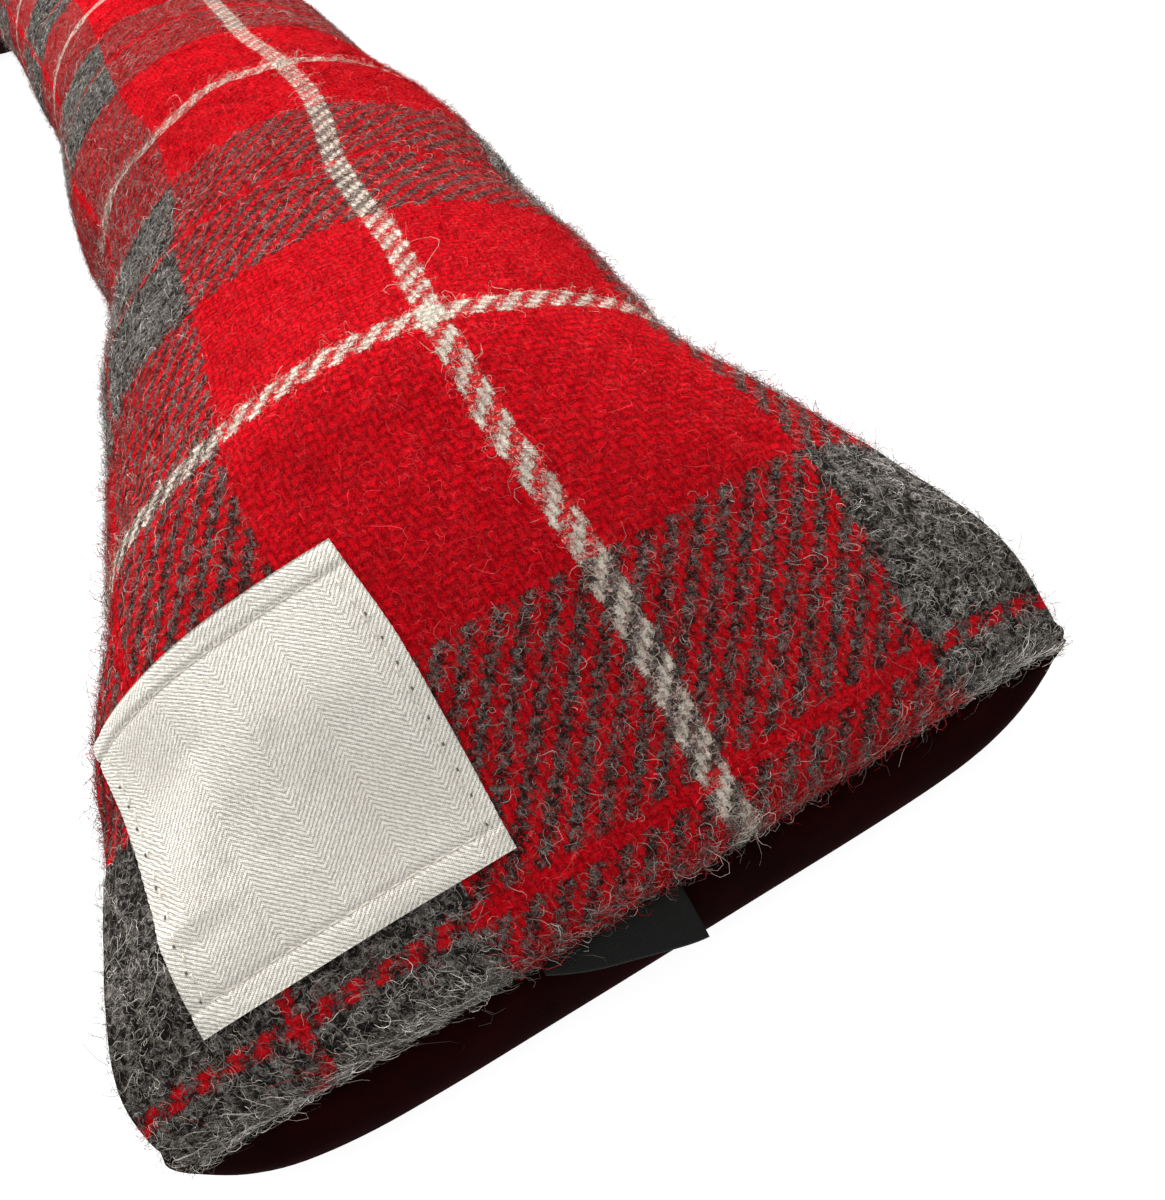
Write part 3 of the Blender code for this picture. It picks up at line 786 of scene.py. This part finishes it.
BARE = 0.6                  # no fibre is rooted this near the label
ROOT_DEPTH = 0.05
ANY_WAY = 0.3               # share of the fibres that lie in any direction; the others follow their yarn
HIGHEST = 2.5               # of a crop's lift
TIP = 0.45                  # of a fibre's width
CLUMP_TONE = 0.65           # how much of a fibre's tone is its clump's
CROSSED_FUZZ = 0.75         # tone of fibres where two kinds of yarn cross

# Fibres over one float of yarn are lighter or darker together
CLUMPS = dice.uniform(0.0, 1.0, (97, 97)) ** 0.7


def label_covers(cloth, across):
    """Whether a place on the tweed lies under the label."""
    along = cloth - LABEL_START
    side = across - LABEL_FROM_SIDE
    return ((along > -BARE) & (along < LABEL_LENGTH + BARE)
            & (side > -BARE) & (side < LABEL_ROUND + BARE))


def grow_fibres(count, cloth_range, length, lift, width, bends, twist):
    """Thin curled ribbons rooted in the tweed: their points, yarns and tones."""
    cloth = dice.uniform(*cloth_range, count)
    width_here = row_width(cloth)
    across = dice.uniform(0.0, 1.0, count) * width_here
    keep = ~label_covers(cloth, from_cut_edge(across, width_here))
    cloth, across = cloth[keep], across[keep]
    roots, normals, onward, sideways, threads = tweed_at(cloth, across)
    yarn, end_up = yarn_on_top(threads[:, 0], threads[:, 1])
    count = len(cloth)
    any_way = dice.uniform(0.0, 1.0, count) < ANY_WAY
    heading = np.where(end_up, 0.0, np.pi / 2) + dice.normal(0.0, 0.5, count)
    heading = np.where(any_way, dice.uniform(0.0, 2 * np.pi, count), heading)
    turn = dice.normal(0.0, 2.0, count)
    sizes = length * np.exp(dice.normal(0.0, 0.45, count))
    height = lift * np.minimum(np.exp(dice.normal(0.0, 0.5, count)), HIGHEST)
    steps = np.linspace(0.0, 1.0, bends + 1)
    here = roots - normals * ROOT_DEPTH
    line = []
    flat = np.zeros((count, 3))
    for k, t in enumerate(steps):
        angle = heading + turn * t * 1.5 + 0.5 * np.sin(6.0 * t + turn)
        direction = onward * np.cos(angle)[:, None] + sideways * np.sin(angle)[:, None]
        if k:
            flat = flat + direction * (sizes / bends)[:, None]
        rise = height * np.sin(np.pi * min(0.12 + 0.80 * t, 1.0))
        line.append(here + flat + normals * rise[:, None])
    line = np.array(line)
    going = np.gradient(line, axis=0)
    tilt = dice.normal(0.0, twist, (count, 3))
    beside = np.cross(going, normals + tilt)
    beside /= np.maximum(np.linalg.norm(beside, axis=-1, keepdims=True), 1e-9)
    taper = np.linspace(1.0, TIP, bends + 1)[:, None, None]
    left = line - beside * width / 2 * taper
    right = line + beside * width / 2 * taper
    points = np.stack([left, right], axis=0).transpose(2, 1, 0, 3)
    clump = CLUMPS[np.floor(threads[:, 0]).astype(int) % len(CLUMPS),
                   np.floor(threads[:, 1]).astype(int) % len(CLUMPS)]
    crossed = stripe(threads[:, 0]) != stripe(threads[:, 1])
    tone = dice.uniform(0.0, 1.0, count) * (1.0 - CLUMP_TONE + CLUMP_TONE * clump)
    return points, yarn, tone * np.where(crossed, CROSSED_FUZZ, 1.0)


def fibre_piece(name, points, tone, material):
    """One mesh of all the fibres of a yarn."""
    count, rings = points.shape[:2]
    first = (np.arange(count) * rings * 2)[:, None]
    step = (np.arange(rings - 1) * 2)[None, :]
    a = (first + step).ravel()
    faces = np.stack([a, a + 1, a + 3, a + 2], axis=1)
    from_root = np.linspace(0, 1, rings)[None, :, None]
    uv = np.stack(np.broadcast_arrays(tone[:, None, None], from_root), axis=-1)
    uv = np.broadcast_to(uv, (count, rings, 2, 2))
    piece = make_piece(name, placed(points.reshape(-1, 3)), faces, material, uv.reshape(-1, 2), smooth=False)


FUZZ = (("white", fuzz_material("white_wool", (0.30, 0.26, 0.21), (0.92, 0.86, 0.76), 1.4)),
        ("red", fuzz_material("red_wool", (0.20, 0.0005, 0.0022), (0.90, 0.070, 0.085), 2.2)),
        ("grey", fuzz_material("grey_wool", (0.010, 0.0090, 0.0080), (0.92, 0.86, 0.78), 1.6)))

# part of the tube, fibres, range of cloth, length, lift, width, bends, and how far the ribbons turn from
# lying flat on the cloth
Crop = namedtuple("Crop", "part count cloth_range length lift width bends twist")
CROPS = (
    Crop("near", 20000, (0.0, 62.0), 2.0, 0.42, 0.062, 4, 0.6),
    Crop("next", 26000, (62.0, 155.0), 2.0, 0.42, 0.064, 4, 0.6),
    Crop("halo", 14000, (0.0, 260.0), 2.5, 1.15, 0.078, 5, 2.5),
    Crop("middle", 33000, (155.0, 380.0), 3.2, 0.60, 0.090, 2, 1.0),
    Crop("far", 21000, (380.0, CLOTH), 3.4, 0.70, 0.130, 2, 1.0),
    Crop("edge", 5200, (0.0, 3.0), 2.8, 1.2, 0.070, 5, 1.5),
    Crop("stray", 2000, (0.0, CLOTH), 5.5, 1.6, 0.068, 7, 2.5),
)
for crop in CROPS:
    fibres, yarn, tone = grow_fibres(*crop[1:])
    for number, (colour, material) in enumerate(FUZZ):
        chosen = yarn == number
        if chosen.any():
            fibre_piece(f"fuzz_{colour}_{crop.part}", fibres[chosen], tone[chosen], material)


# Label

HEM = 3.4                   # width of the folded edge, along the two sides that run round the tube
TURN = 0.9                  # width of the rounded edge all round
SEWN = HEM + 0.7            # where the stitches run, in from the folded edges
SIDE_SEWN = 2.4             # and in from the other two sides
HOLES_IN = 1.7              # where the painted shade of the empty needle holes is, in from those two sides
LABEL_OFF = 0.45            # from the tweed to the label's underside
LABEL_CLOTH = 0.45          # thickness of its cloth
LABEL_GRID = (100, 100)
HEM_RISE = 0.22
END_STITCHES = (2.3, 1.8)   # pitch and length, along the folded edges
SIDE_STITCHES = (2.9, 1.5)
HOLES = (4.1, 0.45)
STITCH_THREAD = (0.16, 0.3)     # its radius, and how far its ends dive in
# size of the short dark threads drawn as the painted shade of the empty needle holes
HOLE_SHADE_SIZE = (0.15, 0.1)

label_along = np.linspace(0.0, LABEL_LENGTH, LABEL_GRID[0])
label_round = np.linspace(0.0, LABEL_ROUND, LABEL_GRID[1])
along_grid, round_grid = np.meshgrid(label_along, label_round, indexing="ij")
label_cloth = (LABEL_START + along_grid).ravel()
label_across = (LABEL_FROM_SIDE + round_grid).ravel() - from_cut_edge(0.0, row_width(label_cloth))
points, normals = [grid.reshape(*LABEL_GRID, 3) for grid in tweed_at(label_cloth, label_across)[:2]]
to_fold = np.minimum(along_grid, LABEL_LENGTH - along_grid)
to_side = np.minimum(round_grid, LABEL_ROUND - round_grid)
edge = np.minimum(to_fold, to_side)
hem = HEM_RISE / (1.0 + np.exp((to_fold - HEM) / 0.20))
stitch_line = (0.30 * np.exp(-((to_fold - SEWN) / 0.40) ** 2)
               + 0.12 * np.exp(-((to_side - SIDE_SEWN) / 0.6) ** 2))
worn_edge = np.clip(edge / TURN, 0.0, 1.0)
waves = np.sin(along_grid / 7.0 + 0.6) * np.sin(round_grid / 9.0 + 1.1)
slack = 0.30 * waves * np.clip(edge / 9.0, 0.0, 1.0)
here_and_there = 0.5 + 0.5 * np.sin(along_grid / 5.0 + round_grid / 6.5)
lifted = 0.40 * np.clip(1.0 - edge / 2.2, 0.0, 1.0) * here_and_there
under = LABEL_OFF + slack + lifted
over = under + LABEL_CLOTH * (0.5 + 0.5 * worn_edge) + hem - stitch_line
low_side = points + normals * under[..., None]
high_side = points + normals * over[..., None]
label = closed_sheet("woven_label", low_side, high_side, label_material(),
                     np.stack([along_grid, round_grid], axis=-1))
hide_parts("label")


def stitch_row(start, end, pitch, long):
    """Places of the stitches along one side of the label: (along, round) of each one's two ends."""
    start, end = np.array(start), np.array(end)
    whole = np.linalg.norm(end - start)
    way = (end - start) / whole
    return [(start + way * d, start + way * (d + long)) for d in np.arange(0.6, whole - long, pitch)]


THREAD_SIDES = 6
THREAD_PARTS = 5


def capsule_chain(ends, radius, dip):
    """Small round threads that dive in at both ends; each end is (point, normal)."""
    all_points = []
    all_faces = []
    for (a, normal_a), (b, normal_b) in ends:
        way = (b - a) / max(np.linalg.norm(b - a), 1e-9)
        normal = normal_a + normal_b
        normal = normal / np.linalg.norm(normal)
        beside = np.cross(way, normal)
        base = len(all_points)
        for t in np.arange(THREAD_PARTS + 1) / THREAD_PARTS:
            middle = a * (1 - t) + b * t + normal * (radius * 0.6 - dip * abs(2 * t - 1) ** 3)
            for s in range(THREAD_SIDES):
                angle = 2 * np.pi * s / THREAD_SIDES
                all_points.append(middle + (beside * np.cos(angle) + normal * np.sin(angle)) * radius)
        for ring in range(base, len(all_points) - THREAD_SIDES, THREAD_SIDES):
            for s in range(THREAD_SIDES):
                i = ring + s
                j = ring + (s + 1) % THREAD_SIDES
                all_faces.append((i, j, j + THREAD_SIDES, i + THREAD_SIDES))
    return np.array(all_points), np.array(all_faces)


def on_label(place):
    """Point and normal on the label's upper side."""
    row = np.interp(place[0], label_along, np.arange(LABEL_GRID[0]))
    column = np.interp(place[1], label_round, np.arange(LABEL_GRID[1]))
    r, c = int(round(row)), int(round(column))
    return high_side[r, c], normals[r, c]


LAST = LABEL_LENGTH - SEWN
TOP = LABEL_ROUND - SIDE_SEWN
stitches = [stitch for along in (SEWN, LAST)
            for stitch in stitch_row((along, SIDE_SEWN), (along, TOP), *END_STITCHES)]
stitches += [stitch for side in (SIDE_SEWN, TOP)
             for stitch in stitch_row((SEWN, side), (LAST, side), *SIDE_STITCHES)]
holes = [hole for side in (HOLES_IN, LABEL_ROUND - HOLES_IN)
         for hole in stitch_row((SEWN, side), (LAST, side), *HOLES)]
# Painted shade: the empty needle holes are short dark threads sunk into the label
HOLE_SHADE = thread_material("hole_shade", (0.045, 0.040, 0.036), (0.10, 0.09, 0.08))
LABEL_THREAD = thread_material("label_thread", (0.40, 0.36, 0.30), (0.60, 0.56, 0.49))
for name, places, thread, material in (("label_needle_hole_shade", holes, HOLE_SHADE_SIZE, HOLE_SHADE),
                                       ("label_stitches", stitches, STITCH_THREAD, LABEL_THREAD)):
    ends = [(on_label(a), on_label(b)) for a, b in places]
    thread_points, thread_faces = capsule_chain(ends, *thread)
    make_piece(name, placed(thread_points), thread_faces, material)


# Ribbon tab

TAB_LAYER = 0.40            # thickness of each layer
TAB_GAP = 0.06              # half the gap between the layers at the seam
TAB_LOOP = 0.55             # how much further apart they stand at the fold
TAB_CUT = 10.5              # from the fold to the cut ends, which are hidden in the seam
TAB_START = 1.2             # how deep in the seam the ribbon bends outwards
TAB_ACROSS = 45
TAB_STOPS = 24
FOLD_STOPS = 9


def bent(t, start_slope):
    """A curve from 0 to 1 that starts with the given slope."""
    return start_slope * t + (1.0 - start_slope) * t ** 2


def tab_loops(place):
    """Points round the inside and the outside of the folded ribbon, at one place across it."""
    share = (place - TAB_CENTRE) / TAB_WIDTH + 0.5
    seam_at, seam_height = [np.interp(place, end_seam[:, 1], end_seam[:, k]) for k in (0, 2)]
    opened = 1.0 - (1.0 - share) ** TAB_EASE
    out = TAB_START + TAB_OUT[0] + (TAB_OUT[1] - TAB_OUT[0]) * opened
    down = TAB_DOWN[0] + (TAB_DOWN[1] - TAB_DOWN[0]) * opened
    t = np.linspace(0.0, 1.0, 60)
    ripple = 0.25 * np.sin(2.2 * np.pi * share + 0.4) * t
    way = np.stack([seam_at - TAB_START + out * bent(t, 1.25) + ripple,
                    seam_height + 0.15 - down * bent(t, 0.35)], axis=1)
    shown = walked(way)
    hidden = max(TAB_CUT - shown[-1], 0.1)
    way = np.concatenate([[way[0] - [hidden, 0.05 * hidden]], way])
    walk = np.concatenate([[0.0], shown + hidden])
    stops = np.linspace(0.0, walk[-1], TAB_STOPS)
    route = np.stack([np.interp(stops, walk, way[:, k]) for k in (0, 1)], axis=1)
    heading = np.gradient(route, axis=0)
    heading /= np.linalg.norm(heading, axis=1)[:, None]
    outward = np.stack([-heading[:, 1], heading[:, 0]], axis=1)
    open_part = np.clip((stops - hidden) / max(shown[-1], 0.1), 0.0, 1.0)
    apart = TAB_GAP + TAB_LOOP / 2 * open_part ** 2
    loops = []
    for thickness in (0.0, TAB_LAYER):
        full = (apart + thickness)[:, None]
        turn = np.linspace(0.0, np.pi, FOLD_STOPS)[1:-1]
        fold = [route[-1] + full[-1] * (outward[-1] * np.cos(a) + heading[-1] * np.sin(a)) for a in turn]
        loop = np.concatenate([route + outward * full, fold, (route - outward * full)[::-1]])
        loops.append([(forward, place, up) for forward, up in loop])
    return loops


end_seam = panel(rings_at(0.0), np.linspace(0.0, np.pi, 361), top=False)[0]
tab_places = np.linspace(TAB_CENTRE - TAB_WIDTH / 2, TAB_CENTRE + TAB_WIDTH / 2, TAB_ACROSS)
inner, outer = np.array([tab_loops(place) for place in tab_places]).swapaxes(0, 1)
tab = closed_sheet("folded_ribbon", inner, outer, ribbon_material(),
                   np.stack([outer[..., 1], walked(outer)], axis=-1))
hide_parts("ribbon_tab")


# Floor, light and camera

FLOOR_HALF = 6.0
FLOOR_DOWN = 0.0004         # just under the velvet, which rests at 0
LAMP_SIZE = 1.2
LAMP_POWER = 81.0
LAMP_FROM = (-1.25, 0.10, 1.25)     # the lamp's place and target, in metres from the labelled end
LAMP_TO = (-0.1, 0.0, 0.0)
BRIGHT_SIDE = (-0.66, 0.05, 0.75)
DIMMEST = 0.75
BRIGHTEST = 2.15
CAMERA_PLACE = (92.7, -9.1, 155.2)
CAMERA_TURN = (170.2, 41.4, 23.0)   # heading, dip and roll, in degrees
FOCAL_PIXELS = 1169.0
PICTURE_PIXELS = 1200.0             # along the photo's longer side
SENSOR = 36.0


def lay_floor():
    mesh = bpy.data.meshes.new("floor")
    corners = [(x * FLOOR_HALF, y * FLOOR_HALF, 0.0) for x, y in ((-1, -1), (1, -1), (1, 1), (-1, 1))]
    mesh.from_pydata(corners, [], [(0, 1, 2, 3)])
    mesh.materials.append(floor_material())
    floor = add_object("floor", mesh)
    floor.location.z = -FLOOR_DOWN


def hang_light():
    """One soft lamp, high up beyond the far end."""
    end = Vector(placed([0.0, 0.0, 30.0]).tolist())
    lamp = bpy.data.lights.new("overhead", "AREA")
    lamp.shape = "DISK"
    lamp.size = LAMP_SIZE
    lamp.energy = LAMP_POWER
    thing = add_object("overhead", lamp)
    thing.location = end + Vector(LAMP_FROM)
    thing.rotation_mode = "QUATERNION"
    thing.rotation_quaternion = (Vector(LAMP_TO) - Vector(LAMP_FROM)).to_track_quat("-Z", "Y")


def light_the_room():
    """Soft light all round: bright from above and behind, dim from the side the camera looks from."""
    n = Nodes("room", bpy.data.worlds)
    dot = n.new("VectorMath")
    dot.operation = "DOT_PRODUCT"
    towards = n.fill(dot, {0: n.new("TexCoord").outputs["Generated"], 1: BRIGHT_SIDE})["Value"]
    strength = n.fill(n.new("MapRange"), {"Value": towards, "From Min": -0.35, "From Max": 0.95,
                                          "To Min": DIMMEST, "To Max": BRIGHTEST})["Result"]
    n.fill(n.tree.nodes["Background"], {"Color": (1.0, 1.0, 1.0), "Strength": strength})
    bpy.context.scene.world = n.owner


def set_camera():
    """The photograph is taken close above the labelled end, looking back along the tube."""
    heading, dip, roll = np.radians(CAMERA_TURN)
    forward = Vector((np.cos(heading) * np.cos(dip), np.sin(heading) * np.cos(dip), -np.sin(dip)))
    level = forward.cross(Vector((0, 0, 1))).normalized()
    above = level.cross(forward)
    right = level * np.cos(roll) - above * np.sin(roll)
    up = above * np.cos(roll) + level * np.sin(roll)
    camera = bpy.data.cameras.new("camera")
    camera.sensor_width = SENSOR
    camera.lens = SENSOR * FOCAL_PIXELS / PICTURE_PIXELS
    camera.clip_start = 0.01
    thing = add_object("camera", camera)
    spin = Matrix((right, up, -forward)).transposed()
    thing.matrix_world = Matrix.Translation(placed(CAMERA_PLACE).tolist()) @ spin.to_4x4()
    bpy.context.scene.camera = thing


lay_floor()
hang_light()
light_the_room()
bpy.context.scene.view_settings.view_transform = "Standard"
set_camera()
